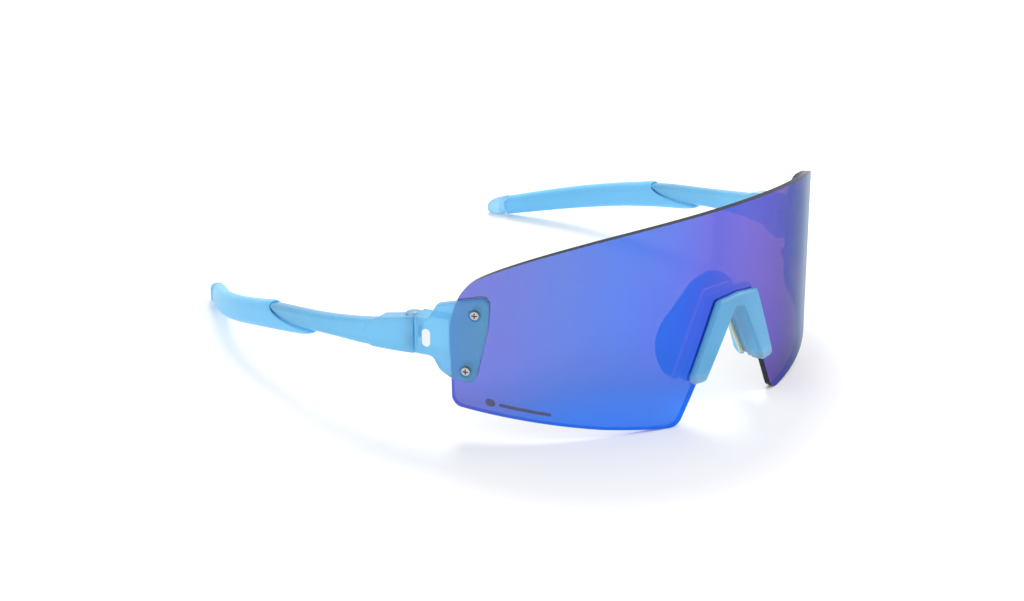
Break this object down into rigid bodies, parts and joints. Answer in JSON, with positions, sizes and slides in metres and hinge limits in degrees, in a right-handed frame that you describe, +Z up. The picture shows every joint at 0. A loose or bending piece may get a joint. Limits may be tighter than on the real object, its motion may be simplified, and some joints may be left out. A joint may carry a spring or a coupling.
{
  "type": "wraparound sport sunglasses",
  "caption": "Rimless wraparound sport sunglasses: mirrored cylindrical shield lens, clear blue brackets and folding temples, rubber sleeves, and a clip-on nose bridge with a soft saddle pad",
  "frame": {"origin": "middle of the bounding box in plan, on the surface the glasses stand on", "axes": "+X to the wearer's left, +Y back along the temples, +Z up"},
  "size_m": [0.1546, 0.1608, 0.0581],
  "materials": {
    "lens": "blue mirror coat on smoke polycarbonate",
    "frame": "polished translucent light blue nylon",
    "bridge": "satin translucent light blue nylon",
    "rubber": "satin sky blue moulded rubber",
    "core": "cream moulded plastic",
    "washer": "natural nylon",
    "steel": "nickel-plated steel",
    "nut": "nickel-plated steel"
  },
  "bodies": {
    "front": {"bracket_left": "frame", "bracket_right": "frame", "hinge_pin_left": "steel", "hinge_pin_right": "steel", "lens": "lens", "lower_lens_nut_left": "nut", "lower_lens_nut_right": "nut", "lower_lens_screw_left": "steel", "lower_lens_screw_right": "steel", "lower_lens_washer_left": "washer", "lower_lens_washer_right": "washer", "nose_bridge": "bridge", "nose_pad": "rubber", "nose_pad_core": "core", "upper_lens_nut_left": "nut", "upper_lens_nut_right": "nut", "upper_lens_screw_left": "steel", "upper_lens_screw_right": "steel", "upper_lens_washer_left": "washer", "upper_lens_washer_right": "washer"},
    "left_temple": {"temple_left": "frame", "temple_sleeve_left": "rubber"},
    "right_temple": {"temple_right": "frame", "temple_sleeve_right": "rubber"}
  },
  "joints": [
    {"name": "left_temple_fold", "type": "hinge", "parent": "front", "child": "left_temple", "pos_m": [0.06798, -0.02886, 0.02712], "axis": [0, 0, 1], "range_deg": [0, 90]},
    {"name": "right_temple_fold", "type": "hinge", "parent": "front", "child": "right_temple", "pos_m": [-0.06798, -0.02886, 0.02712], "axis": [0, 0, -1], "range_deg": [0, 80]}
  ]
}
